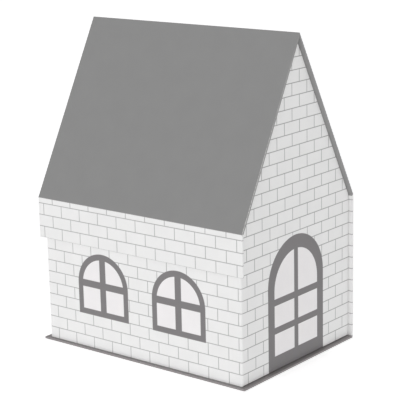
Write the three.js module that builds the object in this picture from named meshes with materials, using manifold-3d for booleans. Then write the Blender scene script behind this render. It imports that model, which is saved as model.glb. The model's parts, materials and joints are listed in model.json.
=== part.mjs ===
// A house-shaped storage box of paper-wrapped greyboard. An open tray with two pentagonal gables
// stands inside a book-style cover: base, right wall, right roof, left roof and closing flap are
// one strip of boards, folded round the tray and hinged by paper creases. The left roof lifts
// about the ridge, and the flap lifts about the left eave and is held shut by magnets.
//
// Millimetres. X runs across the house, Y along the ridge with the door gable facing -Y, Z is up.
// The origin is the middle of the base's underside.

import * as THREE from 'three';
import { mergeVertices } from 'three/addons/utils/BufferGeometryUtils.js';
import Module from 'manifold-3d';

const wasm = await Module();
wasm.setup();

// Driving dimensions of the closed box.
const WIDTH = 220;
const COVER_LENGTH = 307;
const RIDGE_HEIGHT = 385;
const EAVE_HEIGHT = 179;
const FLAP_HEIGHT = 49;
const FRONT_OVERHANG = 5;
const REAR_OVERHANG = 7;

// Thicknesses of the layers, and of a panel with paper on both faces.
const BOARD = 2;
const PAPER = 0.2;
const GLUE = 0.1;
const PANEL = BOARD + 2 * (PAPER + GLUE);
const LINED_PANEL = PANEL + GLUE + PAPER;
const TURN_IN = 15;
const LINING_INSET = 3;

// Creases: the folded paper fills a small wedge, and the boards stop just short of it.
const CREASE_RADIUS = 1;
const CREASE_ROOM = 1.2;
const MITRE_GAP = 0.3;
const CREASE_ARC_STEPS = 8;

// Room between the tray and the moving panels, and between the tray and the fixed ones.
const LID_CLEARANCE = 0.7;
const FIXED_CLEARANCE = 0.3;
const STAY_PAPER = 0.2;
const STAY_LEG = 20;

// Closing magnets in the flap, and the steel discs that they meet in the tray's left wall.
const DISC_RADIUS = 6;
const DISC_ROOM = 0.2;
const MAGNET_THICKNESS = 1.5;
const STEEL_THICKNESS = 1;
const DISC_OFFSET_Y = 85;
const DISC_BELOW_EAVE = 29;

// Slope of both roofs.
const ROOF_RUN = WIDTH / 2;
const ROOF_RISE = RIDGE_HEIGHT - EAVE_HEIGHT;
const ROOF_LENGTH = Math.hypot(ROOF_RUN, ROOF_RISE);
const ROOF_ANGLE = Math.atan2(ROOF_RISE, ROOF_RUN);
const QUARTER_TURN = Math.PI / 2;

// How far each crease is folded from flat.
const BASE_FOLD = QUARTER_TURN;
const EAVE_FOLD = QUARTER_TURN - ROOF_ANGLE;
const RIDGE_FOLD = 2 * ROOF_ANGLE;

// Outer faces of the tray.
const TRAY = {
  left: -WIDTH / 2 + LINED_PANEL + LID_CLEARANCE,
  right: WIDTH / 2 - PANEL - GLUE,
  front: -COVER_LENGTH / 2 + FRONT_OVERHANG,
  rear: COVER_LENGTH / 2 - REAR_OVERHANG,
  bottom: PANEL,
};
const SKIN = PAPER + STAY_PAPER;
const WALL = SKIN + BOARD;
const FLOOR_TOP = TRAY.bottom + BOARD;
const LINED_FLOOR_TOP = FLOOR_TOP + PAPER;
const LEFT_ROOF_DEPTH = LINED_PANEL + LID_CLEARANCE;
const RIGHT_ROOF_DEPTH = PANEL + FIXED_CLEARANCE;
const LEFT_WALL_TOP = 176.5;
const RIGHT_WALL_TOP = 176;
const STAY_TOP = 170;
const SLOPE_BOARD_TOP_X = 1;
const SLOPE_LINING_TOP_X = 2;

const PAPER_GREY = 0x888888;
const PAPER_PRINTED = 0xe6e6e6;
const PAPER_LINING = 0xefeeea;
const GREYBOARD = 0x9c978e;
const STAY_TAPE = 0xcdb68c;
const STEEL = 0xa8abb0;

const house = new THREE.Group();

function paper(color) {
  return new THREE.MeshStandardMaterial({ color, roughness: 0.78, metalness: 0 });
}

function metal(color) {
  return new THREE.MeshStandardMaterial({ color, roughness: 0.35, metalness: 1 });
}

function addPiece(group, name, geometry, material) {
  const piece = new THREE.Mesh(geometry, material);
  piece.name = name;
  group.add(piece);
}

// Turns a closed geometry into a solid that can be cut, and back.
function solidOf(geometry) {
  const bare = geometry.clone();
  bare.deleteAttribute('normal');
  bare.deleteAttribute('uv');
  const merged = mergeVertices(bare);
  return new wasm.Manifold(new wasm.Mesh({
    numProp: 3,
    vertProperties: new Float32Array(merged.attributes.position.array),
    triVerts: new Uint32Array(merged.index.array),
  }));
}

function geometryOf(solid) {
  const mesh = solid.getMesh();
  const geometry = new THREE.BufferGeometry();
  geometry.setAttribute('position', new THREE.BufferAttribute(mesh.vertProperties, 3));
  geometry.setIndex(new THREE.BufferAttribute(mesh.triVerts, 1));
  geometry.computeVertexNormals();
  return geometry;
}

function cut(body, ...tools) {
  return geometryOf(tools.reduce((left, tool) => left.subtract(solidOf(tool)), solidOf(body)));
}

function common(first, second) {
  return geometryOf(solidOf(first).intersect(solidOf(second)));
}

function joined(first, ...others) {
  return geometryOf(others.reduce((whole, other) => whole.add(solidOf(other)), solidOf(first)));
}

// A block given by its limits, [low, high], along each axis.
function block(x, y, z) {
  const geometry = new THREE.BoxGeometry(x[1] - x[0], y[1] - y[0], z[1] - z[0]);
  return geometry.translate((x[0] + x[1]) / 2, (y[0] + y[1]) / 2, (z[0] + z[1]) / 2);
}

// An outline in X and Z, drawn out along Y.
function prism(points, y) {
  const outline = new THREE.Shape(points.map(([across, up]) => new THREE.Vector2(across, up)));
  const geometry = new THREE.ExtrudeGeometry(outline, { depth: y[1] - y[0], bevelEnabled: false });
  return geometry.rotateX(QUARTER_TURN).translate(0, y[1], 0);
}

function disc(radius, thickness) {
  return new THREE.CylinderGeometry(radius, radius, thickness, 40);
}

// ---- Cover ------------------------------------------------------------------------------------
// Each panel lies in its own frame: X leads from one crease to the next, Z leads from the outer
// face into the box. The next panel's frame hangs from the far crease, turned by the fold.

const COVER_Y = [-COVER_LENGTH / 2, COVER_LENGTH / 2];
const COVER_PANELS = [
  { name: 'cover_base', length: WIDTH, color: PAPER_GREY, fold: BASE_FOLD },
  { name: 'cover_right_wall', length: EAVE_HEIGHT, color: PAPER_PRINTED, fold: EAVE_FOLD },
  { name: 'cover_right_roof', length: ROOF_LENGTH, color: PAPER_GREY, fold: RIDGE_FOLD },
  { name: 'cover_left_roof', length: ROOF_LENGTH, color: PAPER_GREY, fold: EAVE_FOLD, lined: true },
  { name: 'cover_flap', length: FLAP_HEIGHT, color: PAPER_PRINTED, fold: 0, lined: true },
];
const CREASE_NAMES = ['base_crease', 'right_eave_crease', 'ridge_crease', 'left_eave_crease'];

// How far from the crease line a panel's mitred end lies at a given depth.
function mitreSetback(fold, depth) {
  return Math.max(depth * Math.tan(fold / 2) + MITRE_GAP, CREASE_ROOM);
}

// Points of a panel's end, from the outer face to the inner one, as [setback, depth].
function endPoints(fold) {
  if (fold === 0) return [[0, 0], [0, PANEL]];
  const inner = mitreSetback(fold, PANEL);
  const corner = (CREASE_ROOM - MITRE_GAP) / Math.tan(fold / 2);
  if (corner >= PANEL) return [[CREASE_ROOM, 0], [CREASE_ROOM, PANEL]];
  return [[CREASE_ROOM, 0], [CREASE_ROOM, corner], [inner, PANEL]];
}

function panelOutline(panel, foldBefore) {
  const start = endPoints(foldBefore);
  const end = endPoints(panel.fold).reverse();
  return [...start, ...end.map(([setback, depth]) => [panel.length - setback, depth])];
}

// Limits along X of whatever lies inside the wrap: inset at a free end, open at a crease.
function insideLimits(panel, foldBefore, inset) {
  const start = foldBefore === 0 ? inset : -PANEL;
  const end = panel.fold === 0 ? panel.length - inset : panel.length + PANEL;
  return [start, end];
}

function insetY(inset) {
  return [COVER_Y[0] + inset, COVER_Y[1] - inset];
}

// The greyboard of a panel.
function panelBoard(panel, foldBefore) {
  const inset = PAPER + GLUE;
  const room = block(insideLimits(panel, foldBefore, inset), insetY(inset), [inset, PANEL - inset]);
  return common(prism(panelOutline(panel, foldBefore), COVER_Y), room);
}

// The paper round a board: its outer face, its edges, and a margin turned in on the inner face.
function panelWrap(panel, foldBefore) {
  const pocket = block(insideLimits(panel, foldBefore, PAPER), insetY(PAPER), [PAPER, PANEL - PAPER]);
  const window = block(insideLimits(panel, foldBefore, TURN_IN), insetY(TURN_IN), [BOARD, PANEL + GLUE]);
  return cut(prism(panelOutline(panel, foldBefore), COVER_Y), pocket, window);
}

// The lining sheet on the inner face of a moving panel.
function panelLining(panel, foldBefore) {
  const start = mitreSetback(foldBefore, LINED_PANEL);
  const end = panel.fold === 0 ? LINING_INSET : mitreSetback(panel.fold, LINED_PANEL);
  return block([start, panel.length - end], insetY(LINING_INSET), [PANEL + GLUE, LINED_PANEL]);
}

// The folded paper along a crease: a thin wedge between the outer faces of the two panels.
function creaseStrip(fold) {
  const points = [[0, 0]];
  for (let step = 0; step <= CREASE_ARC_STEPS; step += 1) {
    const angle = (Math.PI - fold) * (step / CREASE_ARC_STEPS);
    points.push([CREASE_RADIUS * Math.cos(angle), CREASE_RADIUS * Math.sin(angle)]);
  }
  return prism(points, COVER_Y);
}

// A closing magnet, let into the inner side of the flap's board.
function flapDisc(radius, thickness, y, depth) {
  return disc(radius, thickness).rotateX(QUARTER_TURN).translate(DISC_BELOW_EAVE, y, depth);
}

function addFlapMagnets(frame, board) {
  const innerFace = PANEL - PAPER - GLUE;
  const middle = innerFace - MAGNET_THICKNESS / 2;
  const pockets = [];
  for (const [side, y] of [['front', -DISC_OFFSET_Y], ['rear', DISC_OFFSET_Y]]) {
    const magnet = flapDisc(DISC_RADIUS, MAGNET_THICKNESS, y, middle);
    addPiece(frame, `flap_magnet_${side}`, magnet, metal(STEEL));
    const pocketDepth = MAGNET_THICKNESS + 2 * DISC_ROOM;
    pockets.push(flapDisc(DISC_RADIUS + DISC_ROOM, pocketDepth, y, innerFace - MAGNET_THICKNESS / 2));
  }
  return cut(board, ...pockets);
}

function addCover(parent) {
  let frame = new THREE.Group();
  frame.position.x = -WIDTH / 2;
  parent.add(frame);
  let foldBefore = 0;
  COVER_PANELS.forEach((panel, index) => {
    let board = panelBoard(panel, foldBefore);
    if (panel.name === 'cover_flap') board = addFlapMagnets(frame, board);
    addPiece(frame, `${panel.name}_board`, board, paper(GREYBOARD));
    addPiece(frame, `${panel.name}_wrap`, panelWrap(panel, foldBefore), paper(panel.color));
    if (panel.lined) {
      addPiece(frame, `${panel.name}_lining`, panelLining(panel, foldBefore), paper(PAPER_LINING));
    }
    if (index > 0) {
      const strip = creaseStrip(foldBefore);
      addPiece(frame, CREASE_NAMES[index - 1], strip, paper(PAPER_GREY));
    }
    const next = new THREE.Group();
    next.position.x = panel.length;
    next.rotation.y = -panel.fold;
    frame.add(next);
    frame = next;
    foldBefore = panel.fold;
  });
}

// ---- Tray -------------------------------------------------------------------------------------

// Height of a plane lying a given depth under the roof's outer face, at a run from the ridge.
function underRoof(run, depth) {
  return RIDGE_HEIGHT - run * Math.tan(ROOF_ANGLE) - depth / Math.cos(ROOF_ANGLE);
}

// The pentagon of a gable layer, from its sides, its foot and its depths under the two roofs.
function gableOutline(left, right, bottom, leftDepth, rightDepth) {
  const apexX = (leftDepth - rightDepth) / (2 * Math.sin(ROOF_ANGLE));
  return [
    [left, bottom],
    [right, bottom],
    [right, underRoof(right, rightDepth)],
    [apexX, underRoof(apexX, rightDepth)],
    [left, underRoof(-left, leftDepth)],
  ];
}

// A gable outline drawn in by the same amount at its sides and slopes.
function insetGable(inset) {
  return gableOutline(
    TRAY.left + inset,
    TRAY.right - inset,
    TRAY.bottom,
    LEFT_ROOF_DEPTH + inset,
    RIGHT_ROOF_DEPTH + inset,
  );
}

function steelDisc(radius, thickness, y) {
  const x = TRAY.left + SKIN + STEEL_THICKNESS / 2;
  return disc(radius, thickness).rotateZ(QUARTER_TURN).translate(x, y, EAVE_HEIGHT - DISC_BELOW_EAVE);
}

// The left wall's board, with a shallow pocket for each steel disc.
function leftWallBoard(betweenGables) {
  const x = [TRAY.left + SKIN, TRAY.left + WALL];
  const board = block(x, betweenGables, [TRAY.bottom, LEFT_WALL_TOP]);
  const pockets = [-DISC_OFFSET_Y, DISC_OFFSET_Y].map((y) => (
    steelDisc(DISC_RADIUS + DISC_ROOM, STEEL_THICKNESS + 2 * DISC_ROOM, y)
  ));
  return cut(board, ...pockets);
}

// A layer under the fixed roof, from near the ridge down to an upright end at its right.
function slopeLayer(depth, thickness, topX, right) {
  return [
    [topX, underRoof(topX, depth)],
    [topX, underRoof(topX, depth + thickness)],
    [right, underRoof(right, depth + thickness)],
    [right, underRoof(right, depth)],
  ];
}

// The board under the fixed roof stands on the right wall, so its foot is trimmed level.
function slopeBoard(betweenGables) {
  const right = TRAY.right - SKIN;
  const foot = RIGHT_WALL_TOP + FIXED_CLEARANCE;
  const layer = prism(slopeLayer(RIGHT_ROOF_DEPTH, BOARD, SLOPE_BOARD_TOP_X, right), betweenGables);
  return cut(layer, block([0, WIDTH], COVER_Y, [0, foot]));
}

function addTrayBoards(tray) {
  const board = paper(GREYBOARD);
  const between = [TRAY.front + WALL, TRAY.rear - WALL];
  const acrossInside = [TRAY.left + WALL, TRAY.right - WALL];
  const gable = insetGable(SKIN);
  addPiece(tray, 'tray_floor_board', block(acrossInside, between, [TRAY.bottom, FLOOR_TOP]), board);
  addPiece(tray, 'tray_left_wall_board', leftWallBoard(between), board);
  const rightX = [TRAY.right - WALL, TRAY.right - SKIN];
  addPiece(tray, 'tray_right_wall_board', block(rightX, between, [TRAY.bottom, RIGHT_WALL_TOP]), board);
  addPiece(tray, 'tray_front_gable_board', prism(gable, [TRAY.front + SKIN, TRAY.front + WALL]), board);
  addPiece(tray, 'tray_rear_gable_board', prism(gable, [TRAY.rear - WALL, TRAY.rear - SKIN]), board);
  addPiece(tray, 'tray_right_slope_board', slopeBoard(between), board);
}

// The printed paper round the outside: both gables and both long walls in one sheet.
function addTrayWrap(tray) {
  const gable = insetGable(0);
  const y = [TRAY.front, TRAY.rear];
  const sheet = joined(
    prism(gable, [TRAY.front, TRAY.front + PAPER]),
    prism(gable, [TRAY.rear - PAPER, TRAY.rear]),
    block([TRAY.left, TRAY.left + PAPER], y, [TRAY.bottom, LEFT_WALL_TOP]),
    block([TRAY.right - PAPER, TRAY.right], y, [TRAY.bottom, RIGHT_WALL_TOP]),
  );
  addPiece(tray, 'tray_printed_wrap', sheet, paper(PAPER_PRINTED));
}

// Strong paper tape that holds each upright corner, between the boards and the printed wrap.
function cornerStay(sideX, sideY) {
  const cornerX = sideX < 0 ? TRAY.left + PAPER : TRAY.right - PAPER;
  const cornerY = sideY < 0 ? TRAY.front + PAPER : TRAY.rear - PAPER;
  const legX = [cornerX, cornerX - sideX * STAY_LEG].sort((a, b) => a - b);
  const legY = [cornerY, cornerY - sideY * STAY_LEG].sort((a, b) => a - b);
  const faceX = [cornerX, cornerX - sideX * STAY_PAPER].sort((a, b) => a - b);
  const faceY = [cornerY, cornerY - sideY * STAY_PAPER].sort((a, b) => a - b);
  const z = [TRAY.bottom, STAY_TOP];
  return joined(block(legX, faceY, z), block(faceX, legY, z));
}

function addCornerStays(tray) {
  for (const [sideName, sideX] of [['left', -1], ['right', 1]]) {
    for (const [endName, sideY] of [['front', -1], ['rear', 1]]) {
      addPiece(tray, `corner_stay_${endName}_${sideName}`, cornerStay(sideX, sideY), paper(STAY_TAPE));
    }
  }
}

function addSteelDiscs(tray) {
  for (const [side, y] of [['front', -DISC_OFFSET_Y], ['rear', DISC_OFFSET_Y]]) {
    addPiece(tray, `tray_steel_disc_${side}`, steelDisc(DISC_RADIUS, STEEL_THICKNESS, y), metal(STEEL));
  }
}

// The plain paper inside: one sheet for the floor, one for each wall, one under the fixed roof.
function addTrayLinings(tray) {
  const lining = paper(PAPER_LINING);
  const inside = {
    left: TRAY.left + WALL,
    right: TRAY.right - WALL,
    front: TRAY.front + WALL,
    rear: TRAY.rear - WALL,
  };
  const floorZ = [FLOOR_TOP, LINED_FLOOR_TOP];
  const acrossY = [inside.front + PAPER, inside.rear - PAPER];
  addPiece(
    tray,
    'tray_floor_lining',
    block([inside.left, inside.right], [inside.front, inside.rear], floorZ),
    lining,
  );
  addPiece(
    tray,
    'tray_left_wall_lining',
    block([inside.left, inside.left + PAPER], acrossY, [LINED_FLOOR_TOP, LEFT_WALL_TOP]),
    lining,
  );
  addPiece(
    tray,
    'tray_right_wall_lining',
    block([inside.right - PAPER, inside.right], acrossY, [LINED_FLOOR_TOP, RIGHT_WALL_TOP]),
    lining,
  );
  const slopeLiningDepth = RIGHT_ROOF_DEPTH + BOARD + GLUE;
  const gable = gableOutline(
    inside.left,
    inside.right,
    LINED_FLOOR_TOP,
    LEFT_ROOF_DEPTH + SKIN,
    slopeLiningDepth + FIXED_CLEARANCE,
  );
  addPiece(tray, 'tray_front_gable_lining', prism(gable, [inside.front, acrossY[0]]), lining);
  addPiece(tray, 'tray_rear_gable_lining', prism(gable, [acrossY[1], inside.rear]), lining);
  const slope = slopeLayer(slopeLiningDepth, PAPER, SLOPE_LINING_TOP_X, inside.right - PAPER);
  addPiece(tray, 'tray_right_slope_lining', prism(slope, acrossY), lining);
}

function addTray(parent) {
  const tray = new THREE.Group();
  addTrayBoards(tray);
  addTrayWrap(tray);
  addCornerStays(tray);
  addSteelDiscs(tray);
  addTrayLinings(tray);
  parent.add(tray);
}

addCover(house);
addTray(house);

export default house;
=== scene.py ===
"""A house-shaped storage box of paper-wrapped greyboard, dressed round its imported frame.

The cover is one strip of wrapped panels folded round a tray: base, right wall, right roof, left
roof and flap. Each panel gets a paper wrap with soft edges and turned-in margins, each crease a
folded strip of paper, and the tray a printed wrap that goes round its rounded corners.
Lengths are in metres, and the print's own coordinates are in millimetres.
"""

import json
import math

import bmesh
import bpy
from mathutils import Matrix, Vector


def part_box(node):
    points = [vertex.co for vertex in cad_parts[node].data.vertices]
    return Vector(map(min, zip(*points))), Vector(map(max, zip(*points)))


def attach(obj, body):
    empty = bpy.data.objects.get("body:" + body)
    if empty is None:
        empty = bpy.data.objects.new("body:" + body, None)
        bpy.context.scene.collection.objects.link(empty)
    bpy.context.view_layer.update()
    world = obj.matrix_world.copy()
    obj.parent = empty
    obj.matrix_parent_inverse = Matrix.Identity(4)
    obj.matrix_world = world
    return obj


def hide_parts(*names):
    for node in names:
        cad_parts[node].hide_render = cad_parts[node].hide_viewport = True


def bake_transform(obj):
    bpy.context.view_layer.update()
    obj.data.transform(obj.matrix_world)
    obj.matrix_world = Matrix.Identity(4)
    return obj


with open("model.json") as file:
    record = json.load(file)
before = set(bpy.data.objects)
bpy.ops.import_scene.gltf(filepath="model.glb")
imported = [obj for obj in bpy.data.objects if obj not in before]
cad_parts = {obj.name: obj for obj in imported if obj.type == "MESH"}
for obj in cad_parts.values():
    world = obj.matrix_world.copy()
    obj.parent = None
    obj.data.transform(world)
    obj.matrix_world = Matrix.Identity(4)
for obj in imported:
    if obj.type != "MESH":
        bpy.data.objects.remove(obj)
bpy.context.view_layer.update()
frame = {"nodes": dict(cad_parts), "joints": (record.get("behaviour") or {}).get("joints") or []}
joints = {joint["name"]: joint for joint in frame["joints"]}
nodes = frame["nodes"]

MM = 0.001
MERGE_DISTANCE = 0.01 * MM
SMOOTH_ANGLE = math.radians(38)
ACROSS = Vector((0, 1, 0))
UP = Vector((0, 0, 1))

# Places taken from the frame.
BASE_LOW, BASE_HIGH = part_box("cover_base_wrap")
FRONT, REAR = BASE_LOW.y, BASE_HIGH.y
PANEL = BASE_HIGH.z - BASE_LOW.z
RIDGE = Vector(joints["ridge_hinge"]["pos_m"])
LEFT_EAVE = Vector(joints["flap_hinge"]["pos_m"])
RIGHT_EAVE = Vector((-LEFT_EAVE.x, 0, LEFT_EAVE.z))
LEFT_FOOT = Vector((LEFT_EAVE.x, 0, 0))
RIGHT_FOOT = Vector((-LEFT_EAVE.x, 0, 0))
FLAP_FOOT = Vector((LEFT_EAVE.x, 0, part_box("cover_flap_wrap")[0].z))
TRAY_LOW, TRAY_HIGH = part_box("tray_printed_wrap")
LEFT_WALL_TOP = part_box("tray_left_wall_board")[1].z
RIGHT_WALL_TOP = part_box("tray_right_wall_board")[1].z
ROOF_TAN = (RIDGE.z - LEFT_EAVE.z) / (RIDGE.x - LEFT_EAVE.x)
ROOF_ANGLE = math.atan(ROOF_TAN)

# Paper and board: the wraps' thickness, soft edges and turned-in margins.
PAPER = 0.2 * MM
BOARD = 2.0 * MM
LINING_GAP = 0.1 * MM
EDGE_RADIUS = 0.6 * MM
TURN_IN = 15 * MM
LIP = 0.4 * MM

# Creases: the room on each side of the line, the gap between mitred boards, and the folds' radii.
CREASE_ROOM = 1.2 * MM
MITRE_GAP = 0.3 * MM
STRIP_END = 0.15 * MM
RIDGE_FOLD_RADIUS = 0.4 * MM
FOOT_FOLD_RADIUS = 0.7 * MM
EAVE_FOLD_RADIUS = 2.0 * MM
FOLD_STEPS = 8
BLEND_SHARE = 0.9

# The tray's upright corners and the tapes bent round them.
CORNER_RADIUS = 2.2 * MM
CORNER_STEPS = 10
CORNER_MARGIN = 0.6 * MM
CORNER_RIM = 0.95 * CORNER_RADIUS
TAPE = 0.18 * MM
TAPE_INSET = 0.2 * MM
TAPE_LEG = 20 * MM
GABLE_BOARD_INSET = 0.4 * MM

# The tray's sheets: the rim turned over the boards, the rounded foot, and how far the front
# gable's foot stands clear of the base.
RIM = 2.4 * MM
RIM_RADIUS = 0.5 * MM
FOOT_RADIUS = 0.4 * MM
FRONT_LIFT = 1.1 * MM
ARC_STEPS = 4

# How strongly ink is rubbed off the soft edges. A gain over 1 rubs off all of it in patches.
WEAR_REACH = 0.7
CREASE_WEAR = 0.35
BASE_WEAR = 0.08
PANEL_WEAR = 0.3
# The lid's front edge is painted paler than wear alone would make it: this gain also paints a highlight
# along the rounded edge, stronger towards the eave.
LID_EDGE_WEAR_AND_HIGHLIGHT = 1.4

# Depths of the tray's gables under the outer faces of the two roofs.
LEFT_DEPTH = 3.6 * MM
RIGHT_DEPTH = 2.9 * MM

# The printed brickwork, in millimetres.
COURSE = 14.2
BRICK = 29.1
ODD_JOINT = 10.5
EVEN_JOINT = 24.9
LINE_WIDTH = 0.95
INK_EDGE = 0.12

# Printed windows and door, in millimetres above the tray's foot.
WINDOW = {
    "radius": 39.2,
    "bottom": 41.6,
    "pane_bottom": 48.7,
    "spring": 80.0,
    "pane_spring": 80.0,
    "frame": 7.3,
    "mullion": 9.2,
    "transoms": [(76.0, 84.6)],
}
WINDOW_SPREAD = 57.5
DOOR = {
    "radius": 54.7,
    "bottom": -1.0,
    "pane_bottom": 17.8,
    "spring": 97.6,
    "pane_spring": 93.6,
    "frame": 12.3,
    "mullion": 7.7,
    "transoms": [(44.0, 51.8), (77.5, 85.4)],
}
DOOR_LEFT_OF_CENTRE = 3.0
FLAP_PRINT_SHIFT = 156.5 * MM


# ---- Node graphs --------------------------------------------------------------------------------


class Graph:
    """A material's node tree, with a short call for each kind of sum."""

    def __init__(self, name):
        self.material = bpy.data.materials.new(name)
        self.material.use_nodes = True
        self.tree = self.material.node_tree
        self.shader = self.tree.nodes["Principled BSDF"]

    def node(self, kind, **settings):
        made = self.tree.nodes.new(kind)
        for key, value in settings.items():
            setattr(made, key, value)
        return made

    def feed(self, socket, value):
        if isinstance(value, bpy.types.NodeSocket):
            self.tree.links.new(value, socket)
        else:
            socket.default_value = value

    def math(self, operation, *values):
        made = self.node("ShaderNodeMath", operation=operation)
        for socket, value in zip(made.inputs, values):
            self.feed(socket, value)
        return made.outputs[0]

    def add(self, first, second):
        return self.math("ADD", first, second)

    def sub(self, first, second):
        return self.math("SUBTRACT", first, second)

    def mul(self, first, second):
        return self.math("MULTIPLY", first, second)

    def least(self, first, second):
        return self.math("MINIMUM", first, second)

    def most(self, first, second):
        return self.math("MAXIMUM", first, second)

    def size(self, value):
        return self.math("ABSOLUTE", value)

    def attribute(self, name):
        return self.node("ShaderNodeAttribute", attribute_name=name)

    def split(self, vector):
        made = self.node("ShaderNodeSeparateXYZ")
        self.feed(made.inputs[0], vector)
        return made.outputs

    def noise(self, vector, scale, detail=3.0, roughness=0.55):
        made = self.node("ShaderNodeTexNoise")
        self.feed(made.inputs["Vector"], vector)
        made.inputs["Scale"].default_value = scale
        made.inputs["Detail"].default_value = detail
        made.inputs["Roughness"].default_value = roughness
        return made.outputs["Fac"]

    def remap(self, value, low, high, to_low=0.0, to_high=1.0):
        made = self.node("ShaderNodeMapRange", interpolation_type="SMOOTHSTEP")
        for socket, number in zip(made.inputs, (value, low, high, to_low, to_high)):
            self.feed(socket, number)
        return made.outputs[0]

    def mix(self, amount, first, second):
        made = self.node("ShaderNodeMix", data_type="RGBA")
        self.feed(made.inputs[0], amount)
        self.feed(made.inputs[6], first)
        self.feed(made.inputs[7], second)
        return made.outputs[2]

    def tint(self, color, factor):
        """A colour made darker or lighter by a factor."""
        made = self.node("ShaderNodeMix", data_type="RGBA", blend_type="MULTIPLY")
        made.inputs[0].default_value = 1.0
        self.feed(made.inputs[6], color)
        grey = self.node("ShaderNodeCombineColor")
        for socket in grey.inputs:
            self.feed(socket, factor)
        self.feed(made.inputs[7], grey.outputs[0])
        return made.outputs[2]

    def bump(self, height, distance):
        made = self.node("ShaderNodeBump")
        made.inputs["Strength"].default_value = 1.0
        made.inputs["Distance"].default_value = distance
        self.feed(made.inputs["Height"], height)
        self.feed(self.shader.inputs["Normal"], made.outputs[0])

    def finish(self, color, roughness):
        self.feed(self.shader.inputs["Base Color"], color)
        self.feed(self.shader.inputs["Roughness"], roughness)
        self.shader.inputs["IOR"].default_value = 1.45
        return self.material


def rgb(level, warmth=0.0):
    """A near-grey colour; warmth lifts red and lowers blue."""
    return (level * (1 + warmth), level, level * (1 - warmth), 1.0)


GREY_INK = rgb(0.288, 0.002)
BASE_INK = (0.284, 0.266, 0.268, 1.0)
FRAME_INK = (0.208, 0.199, 0.203, 1.0)
PANE_INK = (0.885, 0.865, 0.872, 1.0)
WHITE_PAPER = rgb(0.86, 0.002)
LINE_INK = rgb(0.42)
GABLE_LINE_INK = rgb(0.35)
RAW_PAPER = rgb(0.80, 0.01)
LINING_WHITE = rgb(0.80, 0.015)


def paper_surface(graph, place, color, grain=1.0, base_roughness=0.62):
    """Gives a paper its mottled tone, its fibres and its slightly uneven, matt face."""
    cloud = graph.noise(place, 0.035, 3.0)
    fibre = graph.noise(place, 2.2, 5.0, 0.65)
    cloud_tone = graph.remap(cloud, 0.3, 0.7, 0.985, 1.012)
    tone = graph.add(cloud_tone, graph.remap(fibre, 0.2, 0.8, -0.012, 0.012))
    ripple = graph.noise(place, 0.09, 2.0)
    height = graph.add(graph.mul(fibre, 0.012 * grain), graph.mul(ripple, 0.10))
    graph.bump(height, 1.0 * MM)
    roughness = graph.remap(fibre, 0.25, 0.75, base_roughness - 0.05, base_roughness + 0.06)
    return graph.finish(graph.tint(color, tone), roughness)


def rubbed_and_highlit_edge(graph, place):
    """How much raw paper shows, only on soft edges and folds, and in patches: rubbed-off ink, and on the
    lid's front edge a painted highlight as well.
    """
    edge = graph.attribute("edge").outputs["Fac"]
    patches = graph.noise(place, 0.35, 4.0, 0.7)
    return graph.mul(graph.remap(edge, 0.15, 0.95), graph.remap(patches, 0.36, 0.60, 0.25, 1.0))


def grey_paper(name, ink):
    graph = Graph(name)
    place = graph.attribute("sheet").outputs["Vector"]
    # Raw paper shows on the soft edges where ink is rubbed off; on the lid's front edge it is also a
    # painted highlight.
    rubbed_and_highlit = graph.mix(rubbed_and_highlit_edge(graph, place), ink, RAW_PAPER)
    return paper_surface(graph, place, rubbed_and_highlit)


def from_line(graph, place, spacing):
    """Distance to the nearest of a row of evenly spaced lines."""
    shifted = graph.add(place, spacing / 2)
    return graph.size(graph.sub(graph.math("FLOORED_MODULO", shifted, spacing), spacing / 2))


def brick_lines(graph, along, height):
    """The mortar lines of a half-brick running bond, 1 on a line and 0 off it."""
    course = graph.math("FLOOR", graph.mul(height, 1 / COURSE))
    is_even = graph.math("FLOORED_MODULO", course, 2.0)
    offset = graph.add(ODD_JOINT, graph.mul(is_even, EVEN_JOINT - ODD_JOINT))
    from_course = from_line(graph, height, COURSE)
    from_joint = from_line(graph, graph.sub(along, offset), BRICK)
    nearest = graph.least(from_course, from_joint)
    return graph.remap(nearest, LINE_WIDTH / 2 - INK_EDGE, LINE_WIDTH / 2 + INK_EDGE, 1.0, 0.0)


def arch(graph, across, height, radius, spring, bottom):
    """Signed distance to an opening with a level foot and a half-round head, negative inside."""
    above = graph.most(graph.sub(height, spring), 0.0)
    squares = graph.add(graph.mul(across, across), graph.mul(above, above))
    head = graph.sub(graph.math("SQRT", squares), radius)
    return graph.most(head, graph.sub(bottom, height))


def opening_masks(graph, across, height, shape):
    """Ink masks of a printed window or door: the whole opening, and its panes."""
    outer = arch(graph, across, height, shape["radius"], shape["spring"], shape["bottom"])
    pane_radius = shape["radius"] - shape["frame"]
    pane = arch(graph, across, height, pane_radius, shape["pane_spring"], shape["pane_bottom"])
    pane = graph.most(pane, graph.sub(shape["mullion"] / 2, graph.size(across)))
    for low, high in shape["transoms"]:
        bar = graph.sub((high - low) / 2, graph.size(graph.sub(height, (low + high) / 2)))
        pane = graph.most(pane, bar)
    return [graph.remap(mask, -INK_EDGE, INK_EDGE, 1.0, 0.0) for mask in (outer, pane)]


def printed_paper(name, windows_at=None, door_at=None, line_ink=LINE_INK):
    """White paper with grey brick lines, and windows or a door where they are asked for."""
    graph = Graph(name)
    place = graph.attribute("sheet").outputs["Vector"]
    along, height, _ = graph.split(place)
    ink = graph.mix(brick_lines(graph, along, height), WHITE_PAPER, line_ink)
    shapes = []
    if windows_at is not None:
        shapes.append((graph.sub(graph.size(graph.sub(along, windows_at)), WINDOW_SPREAD), WINDOW))
    if door_at is not None:
        shapes.append((graph.sub(along, door_at), DOOR))
    for across, shape in shapes:
        whole, pane = opening_masks(graph, across, height, shape)
        ink = graph.mix(whole, ink, FRAME_INK)
        ink = graph.mix(pane, ink, PANE_INK)
    return paper_surface(graph, place, ink)


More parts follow.
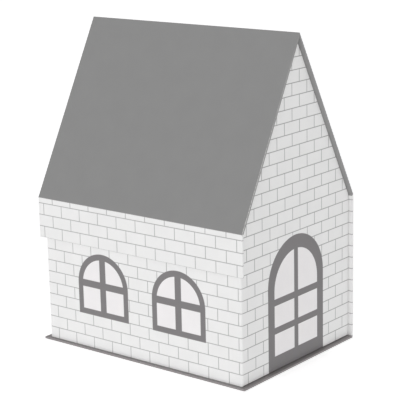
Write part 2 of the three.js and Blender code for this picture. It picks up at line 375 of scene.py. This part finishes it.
def lining_paper():
    graph = Graph("lining_paper")
    place = graph.node("ShaderNodeTexCoord").outputs["Object"]
    scaled = graph.node("ShaderNodeVectorMath", operation="SCALE")
    graph.feed(scaled.inputs[0], place)
    scaled.inputs["Scale"].default_value = 1 / MM
    return paper_surface(graph, scaled.outputs[0], LINING_WHITE, grain=1.8, base_roughness=0.78)


def greyboard():
    graph = Graph("greyboard")
    place = graph.node("ShaderNodeTexCoord").outputs["Object"]
    fibre = graph.noise(place, 900.0, 5.0, 0.7)
    fleck = graph.remap(graph.noise(place, 2600.0, 2.0), 0.62, 0.72)
    layer = graph.mix(graph.remap(fibre, 0.3, 0.7), (0.27, 0.24, 0.20, 1), (0.40, 0.37, 0.32, 1))
    graph.bump(fibre, 0.08 * MM)
    color = graph.mix(fleck, layer, (0.12, 0.11, 0.10, 1))
    return graph.finish(color, graph.remap(fibre, 0.2, 0.8, 0.82, 0.95))


def stay_tape():
    graph = Graph("stay_tape")
    place = graph.node("ShaderNodeTexCoord").outputs["Object"]
    fibre = graph.noise(place, 1400.0, 4.0, 0.65)
    graph.bump(fibre, 0.03 * MM)
    color = graph.mix(graph.remap(fibre, 0.3, 0.7), (0.46, 0.33, 0.18, 1), (0.62, 0.47, 0.28, 1))
    return graph.finish(color, graph.remap(fibre, 0.3, 0.7, 0.6, 0.75))


def plated_steel():
    graph = Graph("plated_steel")
    place = graph.node("ShaderNodeTexCoord").outputs["Object"]
    scuff = graph.noise(place, 1800.0, 4.0, 0.6)
    graph.bump(scuff, 0.004 * MM)
    graph.shader.inputs["Metallic"].default_value = 1.0
    return graph.finish(rgb(0.62), graph.remap(scuff, 0.3, 0.7, 0.22, 0.40))


# ---- Mesh helpers -------------------------------------------------------------------------------


def new_piece(name, mesh_data, materials):
    """An object from a bmesh, smooth over its soft edges and sharp at its corners."""
    mesh = bpy.data.meshes.new(name)
    mesh_data.to_mesh(mesh)
    mesh_data.free()
    mesh.shade_smooth()
    mesh.set_sharp_from_angle(angle=SMOOTH_ANGLE)
    for material in materials:
        mesh.materials.append(material)
    piece = bpy.data.objects.new(name, mesh)
    bpy.context.scene.collection.objects.link(piece)
    return piece


def keep_flat_normals(piece):
    modifier = piece.modifiers.new("flat faces keep their normals", "WEIGHTED_NORMAL")
    modifier.keep_sharp = True
    modifier.weight = 100


def bridge(mesh_data, loops):
    """Faces between successive closed loops of vertices, and caps on the first and last."""
    for first, second in zip(loops, loops[1:]):
        count = len(first)
        for index in range(count):
            after = (index + 1) % count
            mesh_data.faces.new((first[index], first[after], second[after], second[index]))
    mesh_data.faces.new(loops[0])
    mesh_data.faces.new(loops[-1])
    bmesh.ops.recalc_face_normals(mesh_data, faces=mesh_data.faces)


def place_key(vertex):
    """A vertex's place in whole merge distances, to sort by."""
    return tuple(round(value / MERGE_DISTANCE) for value in vertex.co)


def in_fixed_order(mesh_data):
    """The same mesh in the order of its places, because a bevel's own order changes from run to run."""
    fresh = bmesh.new()
    copies = {vertex: fresh.verts.new(vertex.co) for vertex in sorted(mesh_data.verts, key=place_key)}
    outlines = []
    for face in mesh_data.faces:
        corners = list(face.verts)
        first = corners.index(min(corners, key=place_key))
        outlines.append(corners[first:] + corners[:first])
    outlines.sort(key=lambda corners: [place_key(vertex) for vertex in corners])
    for corners in outlines:
        fresh.faces.new([copies[vertex] for vertex in corners])
    mesh_data.free()
    return fresh


# ---- Cover --------------------------------------------------------------------------------------


class Panel:
    """A cover panel's own axes: along leads from crease to crease, inward leads into the box."""

    def __init__(self, start, end):
        self.start = start
        self.length = (end - start).length
        self.along = (end - start).normalized()
        self.inward = self.along.cross(ACROSS)

    def matrix(self):
        axes = Matrix((self.along, ACROSS, self.inward)).transposed().to_4x4()
        return Matrix.Translation(self.start) @ axes

    def fold_to(self, other):
        return self.along.angle(other.along)


BASE = Panel(LEFT_FOOT, RIGHT_FOOT)
RIGHT_WALL = Panel(RIGHT_FOOT, RIGHT_EAVE)
RIGHT_ROOF = Panel(RIGHT_EAVE, RIDGE)
LEFT_ROOF = Panel(RIDGE, LEFT_EAVE)
FLAP = Panel(LEFT_EAVE, FLAP_FOOT)


def end_profile(fold):
    """A panel's end from its outer face to its inner one, as (distance from the crease, depth)."""
    if fold is None:
        return [(0.0, 0.0), (0.0, PANEL)]
    slope = math.tan(fold / 2)
    inner = max(PANEL * slope + MITRE_GAP, CREASE_ROOM)
    knee = (CREASE_ROOM - MITRE_GAP) / slope
    if knee >= PANEL:
        return [(CREASE_ROOM, 0.0), (CREASE_ROOM, PANEL)]
    return [(CREASE_ROOM, 0.0), (CREASE_ROOM, knee), (inner, PANEL)]


def panel_solid(panel, before, after):
    """The closed shape of a panel in its own axes, with its free edges rounded."""
    start = end_profile(before)
    end = [(panel.length - setback, depth) for setback, depth in reversed(end_profile(after))]
    sides = ["start"] * len(start) + ["end"] * len(end)
    creased = {"start": before is not None, "end": after is not None}
    mesh_data = bmesh.new()
    loops = [[mesh_data.verts.new((s, y, d)) for s, d in start + end] for y in (FRONT, REAR)]
    bridge(mesh_data, loops)
    side_of = {vertex: side for loop in loops for vertex, side in zip(loop, sides)}
    soft = []
    for edge in mesh_data.edges:
        first, second = edge.verts
        same_side = side_of[first] == side_of[second]
        if not (same_side and creased[side_of[first]]):
            soft.append(edge)
    bmesh.ops.bevel(
        mesh_data,
        geom=soft,
        offset=EDGE_RADIUS,
        offset_type="OFFSET",
        segments=4,
        profile=0.5,
        affect="EDGES",
    )
    return mesh_data


def open_window(mesh_data, low, high):
    """Cuts the wrap's inner face away between its turned-in margins."""
    cuts = [(Vector((0, FRONT + TURN_IN, 0)), ACROSS), (Vector((0, REAR - TURN_IN, 0)), ACROSS)]
    cuts += [(Vector((s, 0, 0)), Vector((1, 0, 0))) for s in (low, high)]
    for place, normal in cuts:
        everything = list(mesh_data.verts) + list(mesh_data.edges) + list(mesh_data.faces)
        bmesh.ops.bisect_plane(mesh_data, geom=everything, plane_co=place, plane_no=normal)
    inside = []
    for face in mesh_data.faces:
        middle = face.calc_center_median()
        in_window = low < middle.x < high and FRONT + TURN_IN < middle.y < REAR - TURN_IN
        if in_window and middle.z > PANEL - PAPER / 2:
            inside.append(face)
    bmesh.ops.delete(mesh_data, geom=inside, context="FACES")


def edge_share(distances):
    """How far into a rounded edge a point lies, from its distances to the panel's outer planes."""
    second = sorted(distances)[1]
    return max(0.0, min(1.0, (1 - second / EDGE_RADIUS) / WEAR_REACH))


def write_sheet(mesh_data, sheet_of, wear_of):
    """Stores the paper's own coordinates, in millimetres, and how worn its edges are, with the painted
    highlight on the lid's front edge.
    """
    sheet = mesh_data.verts.layers.float_vector.new("sheet")
    edge = mesh_data.verts.layers.float.new("edge")
    for vertex in mesh_data.verts:
        vertex[sheet] = Vector(sheet_of(vertex.co)) / MM
        vertex[edge] = wear_of(vertex.co)


def wrapped_panel(name, body, panel, folds, paint, sheet_of, wear_and_highlight_gain):
    """The paper round one board: outer face, soft edges, and margins turned in on the inner face.

    The folds are the angles of the creases at its two ends, or None at a free end.
    """
    before, after = folds
    material, slot = paint
    mesh_data = panel_solid(panel, before, after)
    margins = [TURN_IN if fold is None else end_profile(fold)[-1][0] + LIP for fold in (before, after)]
    open_window(mesh_data, margins[0], panel.length - margins[1])
    bmesh.ops.remove_doubles(mesh_data, verts=mesh_data.verts, dist=MERGE_DISTANCE)
    mesh_data = in_fixed_order(mesh_data)

    def wear_of(place):
        to_start = place.x if before is None else panel.length
        to_end = panel.length - place.x if after is None else panel.length
        across = min(place.y - FRONT, REAR - place.y)
        through = min(place.z, PANEL - place.z)
        return edge_share([across, min(to_start, to_end), through]) * wear_and_highlight_gain(place)

    write_sheet(mesh_data, sheet_of, wear_of)
    mesh_data.transform(panel.matrix())
    piece = new_piece(f"{name}_paper", mesh_data, [material])
    shell = piece.modifiers.new("paper", "SOLIDIFY")
    shell.thickness = PAPER
    shell.offset = -1
    shell.use_even_offset = True
    keep_flat_normals(piece)
    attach(piece, body)
    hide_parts(f"cover_{name}_wrap")


def crease_path(before, after, radius):
    """Outer line of the folded paper in X and Z, with the inward direction at each point."""
    line = after.start
    fold = before.fold_to(after)
    reach = radius * math.tan(fold / 2)
    points = [(line - before.along * CREASE_ROOM, before.inward)]
    centre = line - before.along * reach + before.inward * radius
    for step in range(FOLD_STEPS + 1):
        turn = Matrix.Rotation(-fold * step / FOLD_STEPS, 3, ACROSS)
        inward = turn @ before.inward
        points.append((centre - inward * radius, inward))
    points.append((line + after.along * CREASE_ROOM, after.inward))
    return points


def filled_back(before, after):
    """The inner outline of a crease that never moves: paper and glue fill the gap between boards."""
    fold = before.fold_to(after)
    line = after.start
    profile = end_profile(fold)[1:]
    far = [line + after.along * setback + after.inward * depth for setback, depth in profile]
    near = [line - before.along * setback + before.inward * depth for setback, depth in profile]
    return far + near[::-1]


def crease_strip(name, bodies, fold, sheet_of):
    """A folded strip of paper between two panels, with one material for each side of the fold."""
    before, after, radius, materials = fold
    moves = len(bodies) > 1
    path = crease_path(before, after, radius)
    outer = [point for point, _ in path]
    back = [point + inward * PAPER for point, inward in path][::-1]
    if not moves:
        back = filled_back(before, after)
    mesh_data = bmesh.new()
    ends = (FRONT + STRIP_END, REAR - STRIP_END)
    loops = [[mesh_data.verts.new((p.x, y, p.z)) for p in outer + back] for y in ends]
    bridge(mesh_data, loops)
    line = after.start
    onward = (before.along + after.along).normalized()

    def beyond_fold(place):
        return (Vector((place.x, 0, place.z)) - line).dot(onward)

    def wear_of(place):
        return CREASE_WEAR * max(0.0, 1 - abs(beyond_fold(place)) / EDGE_RADIUS)

    write_sheet(mesh_data, sheet_of, wear_of)
    for face in mesh_data.faces:
        second_side = beyond_fold(face.calc_center_median()) > 0
        face.material_index = len(materials) - 1 if second_side else 0
    piece = new_piece(f"{name}_paper", mesh_data, materials)
    if moves:
        reach = BLEND_SHARE * CREASE_ROOM * math.cos(before.fold_to(after) / 2)
        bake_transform(piece)
    else:
        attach(piece, bodies[0])
    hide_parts(name)


def round_ends(y, depth):
    """The print's place along the box where the paper turns in at the front and the rear."""
    front_share = max(0.0, 1 - (y - FRONT) / TURN_IN)
    rear_share = max(0.0, 1 - (REAR - y) / TURN_IN)
    return y - depth * front_share + depth * rear_share


def plain_sheet(place):
    return place


def right_wall_sheet(place):
    """The print runs along the wall from the front, and up it from the tray's foot."""
    return round_ends(place.y, place.z) - FRONT, place.x - PANEL, place.z


def flap_sheet(place):
    """The print starts at the flap's foot, and turns in there and at both ends."""
    to_foot = FLAP.length - place.x
    foot_share = max(0.0, 1 - to_foot / TURN_IN)
    return round_ends(place.y, place.z) + FLAP_PRINT_SHIFT, to_foot - place.z * foot_share, place.z


def even_wear(place):
    """The same gain all round the panel."""
    return PANEL_WEAR


def base_wear(place):
    """The base's edges are hardly rubbed."""
    return BASE_WEAR


def lid_wear_and_highlight(place):
    """The lid's front edge is painted palest, and more towards the eave: ink rubbed off where it is held
    to open it, and a painted highlight along the rounded edge.
    """
    at_front = place.y < FRONT + EDGE_RADIUS and place.z < PANEL / 2
    extra = (LID_EDGE_WEAR_AND_HIGHLIGHT - PANEL_WEAR) * place.x / LEFT_ROOF.length if at_front else 0.0
    return PANEL_WEAR + extra


def wall_crease_sheet(place):
    """The right wall's print, carried on over its creases."""
    return place.y - FRONT, place.z - PANEL, 0.0


def flap_crease_sheet(place):
    """The flap's print, carried on over its crease."""
    return place.y + FLAP_PRINT_SHIFT, place.z - FLAP_FOOT.z, 0.0


def make_panels(grey, base_grey, wall_print, flap_print):
    foot = BASE.fold_to(RIGHT_WALL)
    eave = RIGHT_WALL.fold_to(RIGHT_ROOF)
    ridge = RIGHT_ROOF.fold_to(LEFT_ROOF)
    base_paint = (base_grey, "grey_paper")
    wall_paint = (wall_print, "printed_paper")
    roof_paint = (grey, "grey_paper")
    flap_paint = (flap_print, "printed_paper")
    wrapped_panel("base", "box", BASE, (None, foot), base_paint, plain_sheet, base_wear)
    wrapped_panel("right_wall", "box", RIGHT_WALL, (foot, eave), wall_paint, right_wall_sheet, even_wear)
    wrapped_panel("right_roof", "box", RIGHT_ROOF, (eave, ridge), roof_paint, plain_sheet, even_wear)
    wrapped_panel("left_roof", "left_roof", LEFT_ROOF, (ridge, eave), roof_paint, plain_sheet, lid_wear_and_highlight)
    wrapped_panel("flap", "flap", FLAP, (eave, None), flap_paint, flap_sheet, even_wear)


def make_creases(grey, base_grey, wall_print, flap_print):
    foot = (BASE, RIGHT_WALL, FOOT_FOLD_RADIUS, [base_grey, wall_print])
    right_eave = (RIGHT_WALL, RIGHT_ROOF, EAVE_FOLD_RADIUS, [wall_print, grey])
    ridge = (RIGHT_ROOF, LEFT_ROOF, RIDGE_FOLD_RADIUS, [grey])
    left_eave = (LEFT_ROOF, FLAP, EAVE_FOLD_RADIUS, [grey, flap_print])
    crease_strip("base_crease", ["box"], foot, wall_crease_sheet)
    crease_strip("right_eave_crease", ["box"], right_eave, wall_crease_sheet)
    crease_strip("ridge_crease", ["box", "left_roof"], ridge, wall_crease_sheet)
    crease_strip("left_eave_crease", ["left_roof", "flap"], left_eave, flap_crease_sheet)


def make_cover(wall_print, flap_print):
    grey = grey_paper("grey_printed_paper", GREY_INK)
    base_grey = grey_paper("grey_base_paper", BASE_INK)
    make_panels(grey, base_grey, wall_print, flap_print)
    make_creases(grey, base_grey, wall_print, flap_print)


# ---- Tray ---------------------------------------------------------------------------------------

TRAY_WIDTH = TRAY_HIGH.x - TRAY_LOW.x
TRAY_LENGTH = TRAY_HIGH.y - TRAY_LOW.y
GABLE_APEX = (LEFT_DEPTH - RIGHT_DEPTH) / (2 * math.sin(ROOF_ANGLE))


def under_roof(x, depth=None):
    """Height at a place across the box, a depth under the roof; the gables' tops if none is given."""
    if depth is None:
        depth = LEFT_DEPTH if x < GABLE_APEX else RIGHT_DEPTH
    return RIDGE.z - abs(x) * ROOF_TAN - depth / math.cos(ROOF_ANGLE)


class Column:
    """One upright line of a tray sheet: where it stands, what it faces, and how high it reaches."""

    def __init__(self, x, y, facing, top, along, on_slope, rim=RIM, lift=0.0):
        self.foot = Vector((x, y, TRAY_LOW.z + lift))
        self.facing = Vector((*facing, 0))
        self.top = Vector((x, y, top))
        self.along = along
        self.down = -UP / math.cos(ROOF_ANGLE) if on_slope else -UP
        self.rim = rim


def corner_points(side, end, inset=0.0):
    """Points round an upright corner from the long wall to the gable, as (x, y, facing, share)."""
    corner_x = TRAY_LOW.x if side < 0 else TRAY_HIGH.x
    corner_y = TRAY_LOW.y if end < 0 else TRAY_HIGH.y
    radius = CORNER_RADIUS - inset
    centre_x = corner_x - side * CORNER_RADIUS
    centre_y = corner_y - end * CORNER_RADIUS
    points = []
    for step in range(CORNER_STEPS + 1):
        share = step / CORNER_STEPS
        facing = (side * math.cos(share * math.pi / 2), end * math.sin(share * math.pi / 2))
        points.append((centre_x + radius * facing[0], centre_y + radius * facing[1], facing, share))
    return points


def foot_lift(end, share=1.0):
    """How far the front gable's foot stands clear of the base, reached round its corners."""
    return FRONT_LIFT * share if end < 0 else 0.0


def corner_columns(side, end, wall_top):
    """The columns of a side sheet round one corner, ending on a short flat margin on the gable."""
    corner_along = (0 if side < 0 else TRAY_WIDTH) + (0 if end < 0 else side * TRAY_LENGTH)
    onward = side if end < 0 else -side
    columns = []
    for x, y, facing, share in corner_points(side, end):
        from_corner = CORNER_RADIUS * (1 - 2 * share)
        on_slope = share > 0
        top = under_roof(x) if on_slope else wall_top
        along = corner_along + onward * from_corner
        columns.append(Column(x, y, facing, top, along, on_slope, CORNER_RIM, foot_lift(end, share)))
    x -= side * CORNER_MARGIN
    margin = CORNER_RADIUS + CORNER_MARGIN
    along = corner_along - onward * margin
    columns.append(Column(x, y, (0, end), under_roof(x), along, True, lift=foot_lift(end)))
    return columns


def side_columns(side, wall_top):
    rear = corner_columns(side, 1, wall_top)
    front = corner_columns(side, -1, wall_top)
    return rear[::-1] + front


def gable_columns(end):
    edge = CORNER_RADIUS + CORNER_MARGIN
    y = TRAY_LOW.y if end < 0 else TRAY_HIGH.y
    columns = []
    for x in (TRAY_LOW.x + edge, GABLE_APEX, TRAY_HIGH.x - edge):
        along = x - TRAY_LOW.x if end < 0 else -TRAY_LENGTH - (x - TRAY_LOW.x)
        columns.append(Column(x, y, (0, end), under_roof(x), along, True, lift=foot_lift(end)))
    return columns


def rim_section(column):
    """A sheet's section at a column: round the foot, up the outer face, over the rim, and back."""
    inward = -column.facing
    section = []
    quarter = [step / ARC_STEPS * math.pi / 2 for step in range(ARC_STEPS + 1)]
    for turn in quarter:
        rise = UP * FOOT_RADIUS * (1 - math.cos(turn))
        section.append(column.foot + rise + inward * FOOT_RADIUS * (1 - math.sin(turn)))
    for turn in quarter:
        drop = column.down * RIM_RADIUS * (1 - math.sin(turn))
        section.append(column.top + drop + inward * RIM_RADIUS * (1 - math.cos(turn)))
    section.append(column.top + inward * column.rim)
    section.append(column.top + inward * column.rim + column.down * PAPER)
    section.append(column.top + inward * PAPER + column.down * PAPER)
    section.append(column.foot + inward * PAPER + UP * FOOT_RADIUS)
    section.append(column.foot + inward * FOOT_RADIUS + UP * PAPER)
    return section


def tray_sheet(name, columns, material):
    """A printed sheet of the tray, standing on its columns and turned over the rim."""
    mesh_data = bmesh.new()
    sheet = mesh_data.verts.layers.float_vector.new("sheet")
    loops = []
    for column in columns:
        loop = [mesh_data.verts.new(point) for point in rim_section(column)]
        for vertex in loop:
            inward = max(0.0, (column.foot - vertex.co).dot(column.facing))
            vertex[sheet] = Vector((column.along, vertex.co.z - TRAY_LOW.z + inward, 0)) / MM
        loops.append(loop)
    bridge(mesh_data, loops)
    piece = new_piece(name, mesh_data, [material])
    keep_flat_normals(piece)
    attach(piece, "box")
    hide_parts("tray_printed_wrap")


def corner_tape(side_name, side, end_name, end, material):
    """The strong tape bent round one upright corner, between the boards and the printed wrap."""
    low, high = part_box(f"corner_stay_{end_name}_{side_name}")
    arc = corner_points(side, end, TAPE_INSET)
    first_x, first_y, first_facing, _ = arc[0]
    last_x, last_y, last_facing, _ = arc[-1]
    leg = TAPE_LEG - CORNER_RADIUS
    route = [(first_x, first_y - end * leg, first_facing, 0)] + arc
    route.append((last_x - side * leg, last_y, last_facing, 1))
    mesh_data = bmesh.new()
    loops = []
    for x, y, facing, share in route:
        foot = low.z + FOOT_RADIUS + foot_lift(end, share)
        inner_x = x - facing[0] * TAPE
        inner_y = y - facing[1] * TAPE
        places = [(x, y, foot), (x, y, high.z), (inner_x, inner_y, high.z), (inner_x, inner_y, foot)]
        loops.append([mesh_data.verts.new(place) for place in places])
    bridge(mesh_data, loops)
    piece = new_piece(f"corner_tape_{end_name}_{side_name}", mesh_data, [material])
    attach(piece, "box")
    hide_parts(f"corner_stay_{end_name}_{side_name}")


def gable_card(name, node, material):
    """A gable's greyboard with its upright edges rounded to follow the wrap, and its foot lifted."""
    mesh_data = bmesh.new()
    mesh_data.from_mesh(nodes[node].data)
    bmesh.ops.remove_doubles(mesh_data, verts=mesh_data.verts, dist=MERGE_DISTANCE)
    bmesh.ops.dissolve_limit(
        mesh_data, angle_limit=math.radians(1), verts=mesh_data.verts, edges=mesh_data.edges
    )
    low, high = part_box(node)
    end = -1 if low.y < 0 else 1
    outer_y = low.y if end < 0 else high.y
    for vertex in mesh_data.verts:
        if vertex.co.z < low.z + MERGE_DISTANCE:
            vertex.co.z += foot_lift(end)
    upright = []
    for edge in mesh_data.edges:
        first, second = (vertex.co for vertex in edge.verts)
        at_side = min(first.x - low.x, high.x - first.x) < 0.1 * MM
        is_upright = (first - second).xy.length < MERGE_DISTANCE
        at_outer_face = abs(first.y - outer_y) < MERGE_DISTANCE
        if at_side and is_upright and at_outer_face:
            upright.append(edge)
    bmesh.ops.bevel(
        mesh_data,
        geom=upright,
        offset=CORNER_RADIUS - GABLE_BOARD_INSET,
        offset_type="OFFSET",
        segments=6,
        profile=0.5,
        affect="EDGES",
    )
    piece = new_piece(name, in_fixed_order(mesh_data), [material])
    keep_flat_normals(piece)
    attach(piece, "box")
    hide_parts(node)


def slope_lining(material):
    """The paper under the fixed slope, turned up over the raw top edge of its board."""
    board_low, board_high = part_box("tray_right_slope_board")
    low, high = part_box("tray_right_slope_lining")
    board_top = board_high.z
    inner_depth = RIGHT_DEPTH + BOARD + LINING_GAP
    section = []
    for gap, depth in ((LINING_GAP / 2, inner_depth), (LINING_GAP / 2 + PAPER, inner_depth + PAPER)):
        x = board_low.x - gap
        side = [(x, board_top), (x, under_roof(x, depth)), (high.x, under_roof(high.x, depth))]
        section += side if not section else side[::-1]
    mesh_data = bmesh.new()
    loops = [[mesh_data.verts.new((x, y, z)) for x, z in section] for y in (low.y, high.y)]
    bridge(mesh_data, loops)
    piece = new_piece("slope_lining_paper", mesh_data, [material])
    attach(piece, "box")
    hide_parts("tray_right_slope_lining")


def make_tray(board, tape, lining):
    left_print = printed_paper("printed_left_wall", windows_at=-TRAY_LENGTH / 2 / MM)
    door_at = TRAY_WIDTH / 2 / MM - DOOR_LEFT_OF_CENTRE
    gable_print = printed_paper("printed_front_gable", door_at=door_at, line_ink=GABLE_LINE_INK)
    rear_print = printed_paper("printed_rear_gable", line_ink=GABLE_LINE_INK)
    plain_print = printed_paper("printed_bricks")
    tray_sheet("tray_left_paper", side_columns(-1, LEFT_WALL_TOP + PAPER), left_print)
    tray_sheet("tray_right_paper", side_columns(1, RIGHT_WALL_TOP + PAPER), plain_print)
    tray_sheet("front_gable_paper", gable_columns(-1), gable_print)
    tray_sheet("rear_gable_paper", gable_columns(1), rear_print)
    for side_name, side in (("left", -1), ("right", 1)):
        for end_name, end in (("front", -1), ("rear", 1)):
            corner_tape(side_name, side, end_name, end, tape)
    for end_name in ("front", "rear"):
        gable_card(f"{end_name}_gable_card", f"tray_{end_name}_gable_board", board)
    slope_lining(lining)


def paint_frame_nodes(board, lining, tape, steel):
    """Materials for the CAD nodes that are shown as they are."""
    for name, node in nodes.items():
        if name.endswith("_board"):
            material = board
        elif name.endswith("_lining"):
            material = lining
        elif "disc" in name or "magnet" in name:
            material = steel
        else:
            material = tape
        for slot in node.material_slots:
            slot.material = material


# ---- Camera, floor and light --------------------------------------------------------------------

CAMERA_AZIMUTH = -51.06
CAMERA_ELEVATION = 13.96
CAMERA_ROLL = -1.27
CAMERA_DISTANCE = 1.7325
CAMERA_AIM = Vector((0.0003, -0.0074, 0.1749))
CAMERA_LENS = 130.7

# Strengths of the light: the studio's walls and ceiling, the soft light from the left, the weaker
# one on the far side, and the glow of the white table that the box stands on.
WALL_GLOW = 0.98
CEILING_GLOW = 0.34
WALL_FADES_BY = 0.30
KEY = 0.88
FAR_LIGHT = 0.45
TABLE_GLOW = 0.56


def back_from(azimuth, elevation):
    """Unit vector from the subject towards an eye at that azimuth and elevation, in degrees."""
    a, e = math.radians(azimuth), math.radians(elevation)
    return Vector((math.sin(a) * math.cos(e), -math.cos(a) * math.cos(e), math.sin(e)))


def make_camera():
    data = bpy.data.cameras.new("camera")
    data.lens = CAMERA_LENS
    data.sensor_width = 36.0
    camera = bpy.data.objects.new("camera", data)
    bpy.context.scene.collection.objects.link(camera)
    back = back_from(CAMERA_AZIMUTH, CAMERA_ELEVATION)
    upright = back.to_track_quat("Z", "Y").to_matrix()
    rolled = upright @ Matrix.Rotation(math.radians(CAMERA_ROLL), 3, "Z")
    camera.matrix_world = Matrix.Translation(CAMERA_AIM + back * CAMERA_DISTANCE) @ rolled.to_4x4()
    bpy.context.scene.camera = camera


def make_floor():
    graph = Graph("pale_floor")
    place = graph.node("ShaderNodeTexCoord").outputs["Object"]
    tone = graph.remap(graph.noise(place, 3.0, 2.0), 0.3, 0.7, 0.985, 1.0)
    graph.finish(graph.tint(rgb(0.80), tone), 0.9)
    graph.shader.inputs["Emission Color"].default_value = (1.0, 1.0, 1.0, 1.0)
    graph.shader.inputs["Emission Strength"].default_value = TABLE_GLOW
    mesh_data = bmesh.new()
    bmesh.ops.create_grid(mesh_data, x_segments=2, y_segments=2, size=30.0)
    floor = new_piece("floor", mesh_data, [graph.material])


def soft_light(name, azimuth, elevation, spread, strength):
    """A wide, even light from far off, as wide as its spread in degrees."""
    data = bpy.data.lights.new(name, "SUN")
    data.angle = math.radians(spread)
    data.energy = strength
    light = bpy.data.objects.new(name, data)
    bpy.context.scene.collection.objects.link(light)
    light.rotation_mode = "QUATERNION"
    light.rotation_quaternion = back_from(azimuth, elevation).to_track_quat("Z", "Y")


def make_studio():
    """White walls all round, dimmer towards the ceiling."""
    world = bpy.data.worlds.new("studio")
    world.use_nodes = True
    tree = world.node_tree
    background = tree.nodes["Background"]
    background.inputs["Color"].default_value = (1.0, 1.0, 1.0, 1.0)
    direction = tree.nodes.new("ShaderNodeTexCoord").outputs["Generated"]
    parts = tree.nodes.new("ShaderNodeSeparateXYZ")
    dimmer = tree.nodes.new("ShaderNodeMapRange")
    dimmer.interpolation_type = "SMOOTHSTEP"
    for socket, number in zip(dimmer.inputs[1:5], (0.0, WALL_FADES_BY, WALL_GLOW, CEILING_GLOW)):
        socket.default_value = number
    tree.links.new(direction, parts.inputs[0])
    tree.links.new(parts.outputs["Z"], dimmer.inputs["Value"])
    tree.links.new(dimmer.outputs[0], background.inputs["Strength"])
    bpy.context.scene.world = world


def make_light():
    make_studio()
    bpy.context.scene.view_settings.view_transform = "Standard"
    soft_light("key", -74, 38, 70, KEY)
    soft_light("far_side", 130, 35, 80, FAR_LIGHT)


make_camera()
greyboard_paint = greyboard()
tape_paint = stay_tape()
lining_paint = lining_paper()
right_wall_middle = ((TRAY_LOW.y + TRAY_HIGH.y) / 2 - FRONT) / MM
make_cover(
    printed_paper("printed_right_wall", windows_at=right_wall_middle),
    printed_paper("printed_flap"),
)
make_tray(greyboard_paint, tape_paint, lining_paint)
paint_frame_nodes(greyboard_paint, lining_paint, tape_paint, plated_steel())
make_floor()
make_light()
